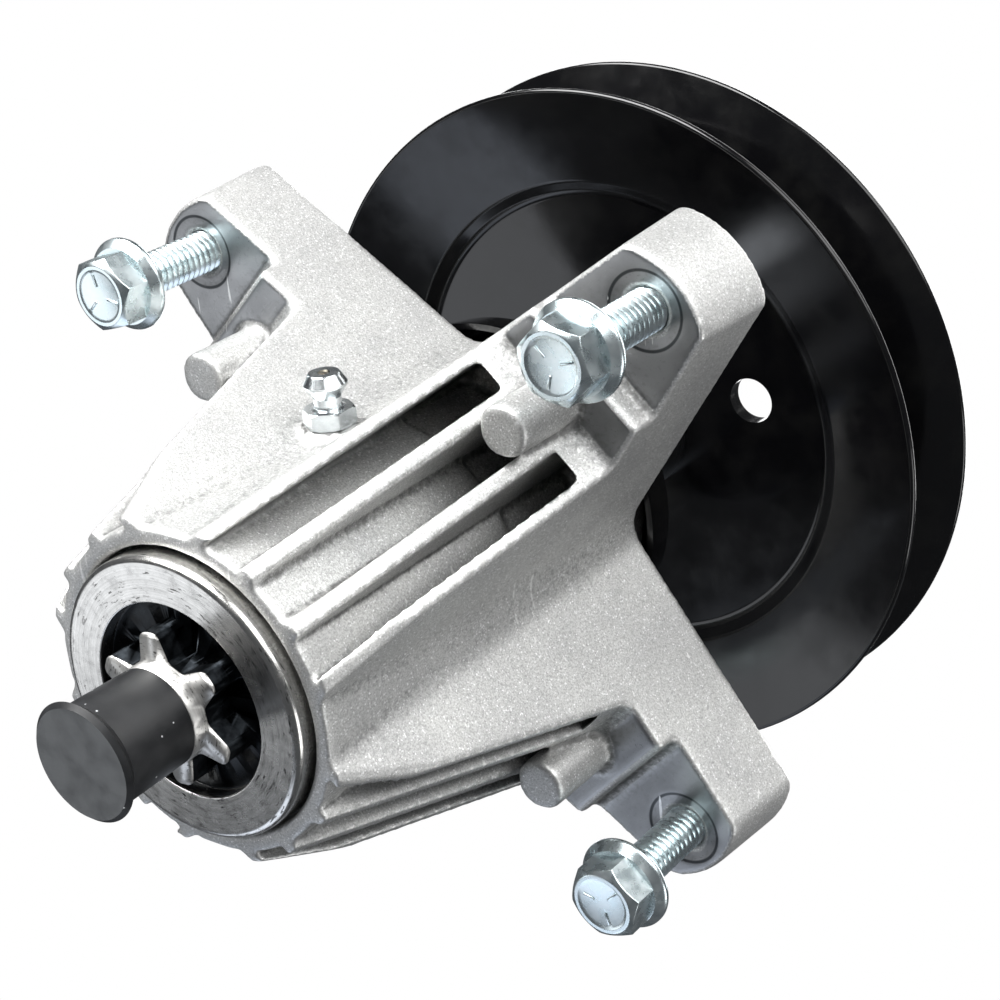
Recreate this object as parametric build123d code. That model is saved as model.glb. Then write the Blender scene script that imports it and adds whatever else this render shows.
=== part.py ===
from build123d import *
import os
from math import cos, radians, sin, sqrt, tan

# Mower deck spindle, in millimetres. The spindle axis is Z, with the pulley end up.
# The origin is the centre of the plane of the four deck pads.

# Ball bearings, two alike
bearing_bore = 25.0
bearing_outside = 52.0
bearing_width = 15.0
bearing_ball_count = 9
bearing_ball_diameter = 7.94
bearing_ring_wall = 3.2
raceway_clearance = 0.03
bearing_edge_round = 0.8
cage_thickness = 2.6
cage_back_height = 4.9
cage_lip_height = 2.8
cage_pocket_clearance = 0.12
seal_thickness = 1.2
seal_inset = 0.5
seal_gap = 0.25
seal_groove = 0.5
fit_gap = 0.03

# Housing casting: main levels along the axis
pad_z = 0.0
arm_top_z = 19.0
nose_z = -66.7
neck_top_z = 26.0
shelf_depth = 5.0
pocket_roof_thickness = 11.0

# Housing casting: the cross of four arms
arm_count = 4
first_arm_angle = 45.0
ear_past_bolt = 10.0
arm_half_width = 14.8
arm_width_radius = 56.0
arm_side_slope = 0.19
side_draft = 2.9
end_draft = 3.5
ear_end_rise = 3.3
ear_corner_radius = 2.0
valley_radius_top = 7.0
valley_radius_nose = 13.0

# Housing casting: core tube, bores and neck
core_wall = 3.2
core_tube_step = 1.2
core_step_z = -12.7
neck_wall = 3.0
bearing_ledge = 3.0
bore_mouth_chamfer = 0.6
lower_bearing_inset = 5.8
upper_bearing_inset = 0.5

# Housing casting: slope of the rib crests, shelf and pads
crest_nose_step = 0.9
crest_slope = 0.268
nose_wall_step = 1.8
nose_cone_slope = 0.4
nose_cone_height = 21.0
nose_skirt_rise = 5.0
shoulder_inside_bolts = 13.6
shoulder_cove = 1.6
shoulder_edge_round = 1.0
crest_end_round = 3.0

# Housing casting: the pockets between the ribs, and the ejector bosses
rib_spacing = 10.9
rib_thickness = 3.1
side_rib_thickness = 2.3
pocket_end_radius = 44.8
boss_radius = 4.75
boss_centre_radius = 47.5
boss_face_z = -20.7

# Deck bolts: flanged hex heads, screwed into the ears from the blade side
bolt_circle_radius = 70.0
bolt_radius = 3.95
bolt_hole_clearance = 0.05
bolt_hole_ring_radius = 7.0
bolt_hole_ring_depth = 0.3
bolt_length = 25.4
bolt_engagement = 6.5
bolt_flange_radius = 8.7
bolt_flange_rim = 1.1
bolt_flange_edge = 0.3
bolt_flange_cone = 1.4
bolt_head_height = 8.1
bolt_head_flats = 12.7
bolt_head_corner_cut = 1.0
hex_corner_slope = 0.7
bolt_dish_radius = 5.0
bolt_dish_depth = 0.35
bolt_tip_chamfer = 1.0

# Shaft with its blade flange and star
shaft_shoulder_length = 0.5
shaft_shoulder_height = 2.9
flange_thickness = 8.0
flange_bore_gap = 0.6
flange_edge_round = 1.3
flange_land = 7.9
recess_depth = 3.0
star_points = 6
star_first_angle = 25.0
star_tip_radius = 13.8
star_root_radius = 8.95
star_base_half_width = 3.15
star_tip_half_width = 1.8
star_tip_round = 1.5
star_root_round = 1.6
star_height = 2.9
collar_step = 0.86
collar_height = 2.5
thread_radius = 7.94
thread_length = 14.0
thread_chamfer = 1.2
thread_past_nut = 4.0
journal_end_gap = 0.3
top_star_inset = 0.2
top_star_root_step = 1.26
star_fit_gap = 0.1

# Cap over the lower thread
cap_fit_gap = 0.05
cap_open_gap = 0.3
cap_end_gap = 0.9
cap_open_wall = 0.76
cap_closed_wall = 1.1
cap_rim_radius = 10.5
cap_rim_height = 2.4
cap_rim_round = 0.8
cap_floor = 1.6

# Dust cover, spacers and pulley fastening
spacer_wall = 3.5
cover_sheet = 1.2
cover_rim_z = 20.3
cover_top_z = 29.5
cover_neck_gap = 2.5
cover_flare = 1.5
cover_corner_round = 2.6
washer_radius = 17.5
washer_thickness = 2.5
washer_clearance = 0.3
nut_flats = 23.8
nut_height = 14.5
nut_corner_cut = 1.4
nut_flange_radius = 16.0
nut_flange_rim = 1.2
nut_flange_height = 2.6

# Belt pulley: two pressed sheet halves welded at the web
pulley_sheet = 1.5
pulley_radius = 70.2
web_z = 62.0
web_radius = 47.7
lower_rim_drop = 8.6
upper_rim_rise = 15.2
lower_wall_drop = 2.0
lower_wall_run = 2.6
upper_wall_height = 3.4
upper_wall_run = 1.6
wall_bend_radius = 1.5
rim_edge_round = 0.5
access_hole_radius = 4.6
access_hole_circle = 32.6
access_hole_angle = 165.5

# Grease fitting on a boss in the valley between two arms
fitting_angle = 90.0
fitting_z = -24.5
fitting_boss_height = 2.3
fitting_boss_radius = 5.3
fitting_hex_flats = 8.2
fitting_hex_height = 3.1
fitting_hex_corner_cut = 0.5
fitting_shank_radius = 3.1
fitting_shank_length = 5.0
fitting_hole_end_gap = 0.5
fitting_height = 9.4
fitting_neck_radius = 2.5
fitting_neck_cove = 0.2
fitting_neck_height = 5.1
fitting_head_radius = 3.9
fitting_head_height = 7.2
fitting_head_band = 0.4
fitting_tip_radius = 2.9
fitting_tip_edge = 0.2
fitting_bore_radius = 1.6
fitting_mouth_radius = 1.1
fitting_lip = 0.5
fitting_foot_lip = 0.5
fitting_inlet_radius = 1.0
check_ball_radius = 1.4
check_ball_gap = 0.06
spring_wire = 0.4
spring_turns = 5
spring_side_gap = 0.15
spring_end_gap = 0.05

# Working margins: how far cutting solids pass a face, and joined ones overlap
cut_margin = 2.0
join_overlap = 0.5

# Levels and radii that follow from the sizes above
arm_step = 360 / arm_count
arm_angles = [first_arm_angle + arm_step * k for k in range(arm_count)]
pocket_roof_z = arm_top_z - pocket_roof_thickness
core_tube_radius = bearing_outside / 2 + core_wall
neck_radius = bearing_outside / 2 + neck_wall
housing_bore_radius = bearing_outside / 2 - bearing_ledge
lower_bearing_z = nose_z + lower_bearing_inset
upper_bearing_z = neck_top_z - upper_bearing_inset - bearing_width
inner_ring_radius = bearing_bore / 2 + bearing_ring_wall
outer_ring_radius = bearing_outside / 2 - bearing_ring_wall
bearing_pitch_radius = (inner_ring_radius + outer_ring_radius) / 2
spacer_radius = bearing_bore / 2 + spacer_wall
arm_reach = bolt_circle_radius + ear_past_bolt
shoulder_radius = bolt_circle_radius - shoulder_inside_bolts
bolt_tip_z = pad_z + bolt_engagement
bolt_flange_z = bolt_tip_z - bolt_length
bolt_head_z = bolt_flange_z - bolt_head_height
flange_back_z = lower_bearing_z - shaft_shoulder_length
flange_face_z = flange_back_z - flange_thickness
flange_radius = bearing_outside / 2 - flange_bore_gap
star_face_z = flange_face_z - star_height
collar_end_z = star_face_z - collar_height
shaft_bottom_z = collar_end_z - thread_length
web_top_z = web_z + 2 * pulley_sheet
washer_top_z = web_top_z + washer_thickness
nut_top_z = washer_top_z + nut_height
shaft_top_z = nut_top_z + thread_past_nut
fitting_seat_radius = core_tube_radius + fitting_boss_height


def turned(points):
    """Solid of revolution about Z from (radius, height) points."""
    return revolve(make_face(Polyline([(r, 0, z) for r, z in points], close=True)), Axis.Z)


def tube(inner, outer, low, high):
    """Plain round tube between two heights."""
    return turned([(inner, low), (outer, low), (outer, high), (inner, high)])


def rod(radius, low, high):
    """Plain round bar between two heights."""
    return Pos(0, 0, low) * Cylinder(radius, high - low, align=(Align.CENTER, Align.CENTER, Align.MIN))


def crest_radius(z):
    """Distance of the rib crests from the axis at a height."""
    return core_tube_radius + crest_nose_step + crest_slope * (z - nose_z)


def side_half_width(radius, z):
    """Half width of an arm at a distance from the axis and a height."""
    plan = arm_half_width + (arm_width_radius - radius) * arm_side_slope
    return plan - (arm_top_z - z) * tan(radians(side_draft))


def arm_point(angle, radius, lateral):
    """Plan point given along and across an arm."""
    a = radians(angle)
    return (radius * cos(a) - lateral * sin(a), radius * sin(a) + lateral * cos(a))


def cross_outline(z, valley_radius):
    """Plan outline of the cross at one height: straight sides and bowed ear ends."""
    reach = arm_reach - (arm_top_z - z) * tan(radians(end_draft))
    corner = reach - ear_end_rise
    half = side_half_width(corner, z)
    to_valley = radians(arm_step / 2)
    valley = side_half_width(0, z) / (sin(to_valley) + arm_side_slope * cos(to_valley))
    edges = []
    for angle in arm_angles:
        near = arm_point(angle, corner, -half)
        far = arm_point(angle, corner, half)
        inner = arm_point(angle + arm_step / 2, valley, 0)
        after = arm_point(angle + arm_step, corner, -half)
        ear_end = ThreePointArc(near, arm_point(angle, reach, 0), far)
        edges += [ear_end, Line(far, inner), Line(inner, after)]
    outline = make_face(edges)
    ear_corners = outline.vertices().sort_by(lambda v: v.center().length)[-2 * arm_count:]
    outline = fillet(ear_corners, ear_corner_radius)
    valleys = outline.vertices().sort_by(lambda v: v.center().length)[:arm_count]
    outline = fillet(valleys, valley_radius)
    return Pos(0, 0, z) * outline


def slab(outline, angle, half_width):
    """Prism of a (radius, height) face, set across an arm."""
    along = (*arm_point(angle, 1, 0), 0)
    across = (*arm_point(angle, 0, -1), 0)
    plane = Plane(origin=(0, 0, 0), x_dir=along, z_dir=across)
    return extrude(plane * outline, half_width, both=True)


def arm_underside(angle):
    """Metal left away below the crests, the shelf and the pad of one arm."""
    low = nose_z - cut_margin
    far = arm_reach + cut_margin
    shelf_z = pad_z - shelf_depth
    points = [(crest_radius(low), low), (crest_radius(shelf_z), shelf_z), (shoulder_radius, shelf_z),
              (shoulder_radius, pad_z), (far, pad_z), (far, low)]
    outline = make_face(Polyline(points, close=True))
    rounds = [(points[1], crest_end_round), (points[2], shoulder_edge_round), (points[3], shoulder_cove)]
    for (x, y), round_radius in rounds:
        outline = fillet(outline.vertices().sort_by_distance((x, y, 0))[0], round_radius)
    return slab(outline, angle, arm_reach / 2)


def rib_pockets(angle):
    """The three pockets between the four ribs of one arm."""
    inner_face = (rib_spacing + rib_thickness) / 2
    centre_half = (rib_spacing - rib_thickness) / 2
    roof = pocket_roof_z
    end = pocket_end_radius
    low = nose_z - cut_margin
    run = arm_side_slope * end
    centre = make_face(Polyline([(0, low), (end, low), (end, roof), (0, roof)], close=True))
    pockets = [slab(centre, angle, centre_half)]
    for side in (-1, 1):
        faces = []
        for z in (low, roof):
            reach = side_half_width(0, z) - side_rib_thickness
            corners = [(0, inner_face), (end, inner_face), (end, reach - run), (0, reach)]
            outline = Polyline([arm_point(angle, r, side * w) for r, w in corners], close=True)
            faces.append(Pos(0, 0, z) * make_face(outline))
        pockets.append(loft(faces, ruled=True))
    return pockets


def core():
    """Tube in the middle of the casting that carries the bearings."""
    lower = rod(core_tube_radius, nose_z, core_step_z)
    upper = rod(core_tube_radius - core_tube_step, core_step_z, arm_top_z)
    neck = rod(neck_radius, arm_top_z - join_overlap, neck_top_z)
    return lower + upper + neck


def bearing_bores():
    """Stepped bore with a seat for each bearing and a grease chamber between."""
    seat = bearing_outside / 2 + fit_gap
    mouth = seat + bore_mouth_chamfer
    low = nose_z - cut_margin
    high = neck_top_z + cut_margin
    lower_top = lower_bearing_z + bearing_width
    chamber = housing_bore_radius
    return turned([(0, low), (mouth, low), (mouth, nose_z), (seat, nose_z + bore_mouth_chamfer),
                   (seat, lower_top), (chamber, lower_top), (chamber, upper_bearing_z),
                   (seat, upper_bearing_z), (seat, neck_top_z - bore_mouth_chamfer),
                   (mouth, neck_top_z), (mouth, high), (0, high)])


def fitting_frame():
    """Plane at the grease fitting's seat, facing outwards."""
    out = (*arm_point(fitting_angle, 1, 0), 0)
    seat = (*arm_point(fitting_angle, fitting_seat_radius, 0), fitting_z)
    return Plane(origin=seat, x_dir=(0, 0, 1), z_dir=out)


def fitting_boss():
    """Round boss on the core tube that the grease fitting screws into."""
    root = (housing_bore_radius + core_tube_radius) / 2
    return fitting_frame() * rod(fitting_boss_radius, root - fitting_seat_radius, 0)


def fitting_hole():
    """Hole for the fitting's shank and the grease passage behind it."""
    hole_end = -fitting_shank_length - fitting_hole_end_gap
    shank = rod(fitting_shank_radius + fit_gap, hole_end, cut_margin)
    passage = rod(fitting_bore_radius, housing_bore_radius - fitting_seat_radius - cut_margin, 0)
    return fitting_frame() * (shank + passage)


def nose_limit():
    """Solid that trims the arms to the round nose and its cone."""
    nose_radius = core_tube_radius + nose_wall_step
    cone_top = nose_z + nose_cone_height
    far = arm_reach + cut_margin
    cone_radius = nose_radius + nose_cone_slope * nose_cone_height
    return turned([(0, nose_z), (nose_radius, nose_z), (cone_radius, cone_top),
                   (far, cone_top + nose_skirt_rise), (far, neck_top_z), (0, neck_top_z)])


def housing():
    """One casting: ribbed arms, ears with pads, bosses and the core tube."""
    cross = loft([cross_outline(nose_z, valley_radius_nose), cross_outline(arm_top_z, valley_radius_top)],
                 ruled=True)
    body = cross & nose_limit()
    for angle in arm_angles:
        body -= arm_underside(angle)
    tubes = core()
    for angle in arm_angles:
        for pocket in rib_pockets(angle):
            body -= pocket - tubes
    body += tubes
    body += fitting_boss()
    below = pad_z - cut_margin
    bolt_hole = rod(bolt_radius + bolt_hole_clearance, below, arm_top_z + cut_margin)
    bolt_ring = rod(bolt_hole_ring_radius, below, pad_z + bolt_hole_ring_depth)
    for angle in arm_angles:
        x, y = arm_point(angle, boss_centre_radius, 0)
        body += Pos(x, y, 0) * rod(boss_radius, boss_face_z, pocket_roof_z + join_overlap)
        x, y = arm_point(angle, bolt_circle_radius, 0)
        body -= Pos(x, y, 0) * bolt_hole
        body -= Pos(x, y, 0) * bolt_ring
    return body - bearing_bores() - fitting_hole()


def hex_prism(flats, low, high):
    """Hexagonal bar between two heights."""
    prism = extrude(RegularPolygon(flats / 2, 6, major_radius=False), high - low)
    return Pos(0, 0, low) * prism


def bolt():
    """Flanged hex bolt, head down."""
    corner = bolt_head_flats / sqrt(3)
    outside = corner + join_overlap
    cut_end = bolt_head_z + (bolt_head_corner_cut + join_overlap) * hex_corner_slope
    flange_low = bolt_flange_z - bolt_flange_rim
    trim = turned([(0, bolt_head_z), (corner - bolt_head_corner_cut, bolt_head_z), (outside, cut_end),
                   (outside, bolt_flange_z), (0, bolt_flange_z)])
    head = hex_prism(bolt_head_flats, bolt_head_z, bolt_flange_z) & trim
    rim = bolt_flange_radius
    flange = turned([(0, bolt_flange_z), (rim - bolt_flange_edge, bolt_flange_z),
                     (rim, bolt_flange_z - bolt_flange_edge), (rim, flange_low),
                     (corner, flange_low - bolt_flange_cone), (0, flange_low - bolt_flange_cone)])
    root = bolt_flange_z - join_overlap
    shank = turned([(0, root), (bolt_radius, root), (bolt_radius, bolt_tip_z - bolt_tip_chamfer),
                    (bolt_radius - bolt_tip_chamfer, bolt_tip_z), (0, bolt_tip_z)])
    dish = rod(bolt_dish_radius, bolt_head_z - cut_margin, bolt_head_z + bolt_dish_depth)
    return head + flange + shank - dish


def mounting_bolts():
    """The four deck bolts, one in each ear."""
    bolts = []
    for angle in arm_angles:
        x, y = arm_point(angle, bolt_circle_radius, 0)
        bolts.append(Pos(x, y, 0) * Rot(0, 0, angle) * bolt())
    return Compound(children=bolts)


def ball_seat():
    """Ring-shaped groove that the balls run in."""
    circle = Plane.XZ * Pos(bearing_pitch_radius, 0) * Circle(bearing_ball_diameter / 2 + raceway_clearance)
    return revolve(circle, Axis.Z)


def outer_ring():
    """Outer bearing ring about its own middle plane."""
    half = bearing_width / 2
    outside = bearing_outside / 2
    inside = outer_ring_radius
    edge = bearing_edge_round
    ledge = half - seal_inset - seal_thickness
    ring = turned([(inside, -ledge), (inside + seal_groove, -ledge), (inside + seal_groove, -half),
                   (outside - edge, -half), (outside, -half + edge), (outside, half - edge),
                   (outside - edge, half), (inside + seal_groove, half), (inside + seal_groove, ledge),
                   (inside, ledge)])
    return ring - ball_seat()


def inner_ring():
    """Inner bearing ring about its own middle plane."""
    half = bearing_width / 2
    outside = inner_ring_radius
    inside = bearing_bore / 2
    edge = bearing_edge_round
    ring = turned([(inside, -half + edge), (inside + edge, -half), (outside, -half), (outside, half),
                   (inside + edge, half), (inside, half - edge)])
    return ring - ball_seat()


def on_ball_circle(shape):
    """Copies of a shape at every ball place."""
    return [Rot(0, 0, 360 / bearing_ball_count * k) * Pos(bearing_pitch_radius, 0, 0) * shape
            for k in range(bearing_ball_count)]


def balls():
    """The ring of balls about the bearing's middle plane."""
    return on_ball_circle(Sphere(bearing_ball_diameter / 2))


def cage():
    """Moulded snap cage: a ring with a round pocket for each ball, open on one side."""
    inside = bearing_pitch_radius - cage_thickness / 2
    outside = bearing_pitch_radius + cage_thickness / 2
    ring = tube(inside, outside, -cage_back_height, cage_lip_height)
    for hole in on_ball_circle(Sphere(bearing_ball_diameter / 2 + cage_pocket_clearance)):
        ring -= hole
    return ring


def seals():
    """The two rubber seals, snapped into the outer ring."""
    outer_face = bearing_width / 2 - seal_inset
    inner_face = outer_face - seal_thickness + fit_gap
    outside = outer_ring_radius + seal_groove - fit_gap
    upper = tube(inner_ring_radius + seal_gap, outside, inner_face, outer_face)
    return [upper, mirror(upper, Plane.XY)]


def star_face(tip, root):
    """Star of tapered fingers with rounded ends and rounded valleys."""
    base = sqrt(root ** 2 - star_base_half_width ** 2)
    end = sqrt(tip ** 2 - star_tip_half_width ** 2)
    points = []
    for k in range(star_points):
        for r, w in ((base, -star_base_half_width), (end, -star_tip_half_width),
                     (end, star_tip_half_width), (base, star_base_half_width)):
            points.append(arm_point(360 / star_points * k, r, w))
    star = make_face(Polyline(points, close=True))
    corners = 2 * star_points
    star = fillet(star.vertices().sort_by(lambda v: -v.center().length)[:corners], star_tip_round)
    return fillet(star.vertices().sort_by(lambda v: v.center().length)[:corners], star_root_round)


def star_prism(face, low, high):
    """Star-shaped bar between two heights, turned to its place on the shaft."""
    return Pos(0, 0, low) * Rot(0, 0, star_first_angle) * extrude(face, high - low)


def top_star_face():
    """Star that drives the pulley's webs."""
    return star_face(bearing_bore / 2 - top_star_inset, thread_radius + top_star_root_step)


def blade_flange():
    """Round flange that the blade seats on, with a recess round the star."""
    recess_floor = flange_face_z + recess_depth
    recess_radius = flange_radius - flange_land
    flange = turned([(0, recess_floor), (recess_radius, recess_floor), (recess_radius, flange_face_z),
                     (flange_radius, flange_face_z), (flange_radius, flange_back_z), (0, flange_back_z)])
    circles = flange.edges().filter_by(GeomType.CIRCLE)
    rims = circles.filter_by(lambda g: abs(g.radius - flange_radius) < fit_gap)
    return fillet(rims.sort_by(Axis.Z)[0], flange_edge_round)


def shaft():
    """Forged and turned shaft: threads, star, blade flange and journal."""
    recess_floor = flange_face_z + recess_depth
    journal = bearing_bore / 2 - fit_gap
    shoulder = bearing_bore / 2 + shaft_shoulder_height
    journal_end = web_z - journal_end_gap
    collar = thread_radius + collar_step
    lower = turned([(0, shaft_bottom_z), (thread_radius - thread_chamfer, shaft_bottom_z),
                    (thread_radius, shaft_bottom_z + thread_chamfer), (thread_radius, collar_end_z),
                    (collar, collar_end_z), (collar, recess_floor), (0, recess_floor)])
    star = star_prism(star_face(star_tip_radius, star_root_radius), star_face_z, recess_floor)
    bar = turned([(0, flange_back_z), (shoulder, flange_back_z), (shoulder, lower_bearing_z),
                  (journal, lower_bearing_z), (journal, journal_end), (0, journal_end)])
    top_star = star_prism(top_star_face(), journal_end, web_top_z - star_fit_gap)
    upper = rod(thread_radius, journal_end, shaft_top_z)
    upper = chamfer(upper.edges().sort_by(Axis.Z)[-1], thread_chamfer)
    return blade_flange() + lower + star + bar + top_star + upper


def thread_cap():
    """Soft cap with a flared rim at its closed end."""
    inner = thread_radius + cap_fit_gap
    open_z = collar_end_z - cap_open_gap
    floor_z = shaft_bottom_z - cap_end_gap
    closed_z = floor_z - cap_floor
    return turned([(0, closed_z), (cap_rim_radius - cap_rim_round, closed_z),
                   (cap_rim_radius, closed_z + cap_rim_round),
                   (inner + cap_closed_wall, closed_z + cap_rim_height), (inner + cap_open_wall, open_z),
                   (inner, open_z), (inner, floor_z), (0, floor_z)])


def bearing_spacer():
    """Tube between the two inner bearing rings."""
    return tube(bearing_bore / 2 + fit_gap, spacer_radius, lower_bearing_z + bearing_width, upper_bearing_z)


def cover_spacer():
    """Short ring between the upper bearing and the dust cover."""
    return tube(bearing_bore / 2 + fit_gap, spacer_radius, upper_bearing_z + bearing_width,
                cover_top_z - cover_sheet)


def dust_cover():
    """Pressed sheet cover over the neck, open downwards."""
    bore = bearing_bore / 2 + fit_gap
    inside = neck_radius + cover_neck_gap
    shoulder = inside + cover_sheet
    rim = shoulder + cover_flare
    shell = turned([(bore, cover_top_z), (shoulder, cover_top_z), (rim, cover_rim_z),
                    (rim - cover_sheet, cover_rim_z), (inside, cover_top_z - cover_sheet),
                    (bore, cover_top_z - cover_sheet)])
    for radius, bend in ((shoulder, cover_corner_round), (inside, cover_corner_round - cover_sheet)):
        circles = shell.edges().filter_by(GeomType.CIRCLE)
        shell = fillet(circles.filter_by(lambda g, r=radius: abs(g.radius - r) < fit_gap), bend)
    return shell


def hub_spacer():
    """Tube that carries the pulley above the dust cover."""
    return tube(bearing_bore / 2 + fit_gap, spacer_radius, cover_top_z, web_z)


def bent_sheet(points, bends):
    """Revolved sheet from its lower line; bends are (radius from axis, bend radius)."""
    lower = [(r, 0, z) for r, z in points]
    upper = [(r, 0, z + pulley_sheet) for r, z in reversed(points)]
    ring = revolve(make_face(Polyline(lower + upper, close=True)), Axis.Z)
    for place, bend in bends:
        circles = ring.edges().filter_by(GeomType.CIRCLE)
        ring = fillet(circles.filter_by(lambda g, p=place: abs(g.radius - p) < fit_gap), bend)
    return ring


def web_cutouts():
    """Star bore and access hole through the pulley's webs."""
    low = web_z - cut_margin
    high = web_top_z + cut_margin
    star = star_prism(offset(top_star_face(), star_fit_gap), low, high)
    x, y = arm_point(access_hole_angle, access_hole_circle, 0)
    return star + Pos(x, y, 0) * rod(access_hole_radius, low, high)


def pulley_lower_half():
    """Pressed half with the web and the flange nearer the deck."""
    wall_end = web_radius + lower_wall_run
    ring = bent_sheet([(0, web_z), (web_radius, web_z), (wall_end, web_z - lower_wall_drop),
                       (pulley_radius, web_z - lower_rim_drop)],
                      [(web_radius, wall_bend_radius), (wall_end, wall_bend_radius),
                       (pulley_radius, rim_edge_round)])
    return ring - web_cutouts()


def pulley_upper_half():
    """Pressed half whose web lies on the other one."""
    base = web_z + pulley_sheet
    wall_end = web_radius + upper_wall_run
    ring = bent_sheet([(0, base), (web_radius, base), (wall_end, base + upper_wall_height),
                       (pulley_radius, web_z + upper_rim_rise - pulley_sheet)],
                      [(web_radius, wall_bend_radius), (wall_end, wall_bend_radius),
                       (pulley_radius, rim_edge_round)])
    return ring - web_cutouts()


def pulley_washer():
    """Flat washer under the nut."""
    return tube(thread_radius + washer_clearance, washer_radius, web_top_z, washer_top_z)


def pulley_nut():
    """Flanged hex nut on the upper thread."""
    low = washer_top_z
    high = nut_top_z
    corner = nut_flats / sqrt(3)
    outside = corner + join_overlap
    cut_end = high - (nut_corner_cut + join_overlap) * hex_corner_slope
    trim = turned([(0, low), (outside, low), (outside, cut_end), (corner - nut_corner_cut, high),
                   (0, high)])
    flange = turned([(0, low), (nut_flange_radius, low), (nut_flange_radius, low + nut_flange_rim),
                     (nut_flats / 2, low + nut_flange_height), (0, low + nut_flange_height)])
    thread = rod(thread_radius + fit_gap, low - cut_margin, high + cut_margin)
    return (hex_prism(nut_flats, low, high) & trim) + flange - thread


def grease_fitting():
    """Turned fitting with a hexagon, neck and conical head."""
    top = fitting_height
    hex_top = fitting_hex_height
    foot = -fitting_shank_length
    neck = fitting_neck_radius
    body = turned([(0, foot), (fitting_shank_radius, foot), (fitting_shank_radius, hex_top),
                   (neck, hex_top + fitting_neck_cove), (neck, fitting_neck_height),
                   (fitting_head_radius, fitting_head_height),
                   (fitting_head_radius, fitting_head_height + fitting_head_band),
                   (fitting_tip_radius, top - fitting_tip_edge),
                   (fitting_tip_radius - fitting_tip_edge, top), (0, top)])
    corner = fitting_hex_flats / sqrt(3)
    outside = corner + join_overlap
    cut = fitting_hex_corner_cut
    cut_end = (cut + join_overlap) * hex_corner_slope
    trim = turned([(0, 0), (corner - cut, 0), (outside, cut_end), (outside, hex_top - cut_end),
                   (corner - cut, hex_top), (0, hex_top)])
    body += hex_prism(fitting_hex_flats, 0, hex_top) & trim
    body -= rod(fitting_bore_radius, foot + fitting_foot_lip, top - fitting_lip)
    body -= rod(fitting_mouth_radius, top - fitting_lip - join_overlap, top + cut_margin)
    body -= rod(fitting_inlet_radius, foot - cut_margin, foot + fitting_foot_lip + join_overlap)
    return fitting_frame() * body


def ball_height():
    """Height of the check ball's centre above the fitting's seat."""
    reach = check_ball_radius + check_ball_gap
    return fitting_height - fitting_lip - sqrt(reach ** 2 - fitting_mouth_radius ** 2)


def grease_fitting_ball():
    """Check ball that closes the fitting's mouth."""
    return fitting_frame() * (Pos(0, 0, ball_height()) * Sphere(check_ball_radius))


def grease_fitting_spring():
    """Coil spring that holds the check ball up."""
    low = -fitting_shank_length + fitting_foot_lip + spring_end_gap
    high = ball_height() - check_ball_radius - check_ball_gap
    radius = fitting_bore_radius - spring_side_gap - spring_wire / 2
    pitch = (high - low - spring_wire) / spring_turns
    helix = Helix(pitch, pitch * spring_turns, radius, center=(0, 0, low + spring_wire / 2))
    wire = Plane(origin=helix @ 0, z_dir=helix % 0) * Circle(spring_wire / 2)
    return fitting_frame() * sweep(wire, path=helix, is_frenet=True)


def save(name, shape):
    """Write one node to its own file."""
    export_step(shape, "parts/" + name + ".step")


os.makedirs("parts", exist_ok=True)
save("housing", housing())
save("mounting_bolts", mounting_bolts())
for place, level in (("lower", lower_bearing_z), ("upper", upper_bearing_z)):
    middle = Pos(0, 0, level + bearing_width / 2)
    save(place + "_bearing_outer_ring", middle * outer_ring())
    save(place + "_bearing_inner_ring", middle * inner_ring())
    save(place + "_bearing_balls", Compound(children=[middle * ball for ball in balls()]))
    save(place + "_bearing_cage", middle * cage())
    save(place + "_bearing_seals", Compound(children=[middle * seal for seal in seals()]))
save("bearing_spacer", bearing_spacer())
save("cover_spacer", cover_spacer())
save("dust_cover", dust_cover())
save("hub_spacer", hub_spacer())
save("shaft", shaft())
save("thread_cap", thread_cap())
save("pulley_lower_half", pulley_lower_half())
save("pulley_upper_half", pulley_upper_half())
save("pulley_washer", pulley_washer())
save("pulley_nut", pulley_nut())
save("grease_fitting", grease_fitting())
save("grease_fitting_ball", grease_fitting_ball())
save("grease_fitting_spring", grease_fitting_spring())
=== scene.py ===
# %% [markdown]
# # Dressing a mower deck spindle
# The engineering model arrives as a fixed frame: solid pieces in metres, with the spindle
# axis on Z and the belt pulley at the top. This lesson gives every visible piece its real
# finish, and models again the ones whose small shapes a maker would notice: the soft edges
# of the casting, the rolled threads, the pressed sheet of the pulley.

# %% Load the frame
import math

import bpy
from mathutils import Matrix, Vector


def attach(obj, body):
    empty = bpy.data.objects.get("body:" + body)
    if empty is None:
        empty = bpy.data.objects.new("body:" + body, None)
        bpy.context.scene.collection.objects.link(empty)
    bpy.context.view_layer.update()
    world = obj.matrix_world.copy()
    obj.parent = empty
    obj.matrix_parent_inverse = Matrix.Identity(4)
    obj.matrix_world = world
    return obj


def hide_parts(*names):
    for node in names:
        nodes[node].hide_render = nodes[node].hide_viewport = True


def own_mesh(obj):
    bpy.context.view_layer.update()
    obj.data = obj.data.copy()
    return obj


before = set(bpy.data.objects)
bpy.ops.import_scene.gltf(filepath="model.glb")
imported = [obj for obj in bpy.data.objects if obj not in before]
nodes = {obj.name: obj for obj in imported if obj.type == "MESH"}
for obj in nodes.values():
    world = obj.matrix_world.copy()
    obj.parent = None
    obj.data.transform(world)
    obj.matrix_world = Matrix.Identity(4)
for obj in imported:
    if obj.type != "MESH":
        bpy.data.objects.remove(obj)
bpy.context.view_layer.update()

MM = 0.001
print("CAD nodes:", len(nodes))

# %% [markdown]
# ## The camera
# The photograph looks up at the underside of the spindle, with the axis turned well over to
# one side. The camera's place and its three directions were worked out from circles whose
# sizes are known: the pulley's rims, the blade flange and the bolt holes.

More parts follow.
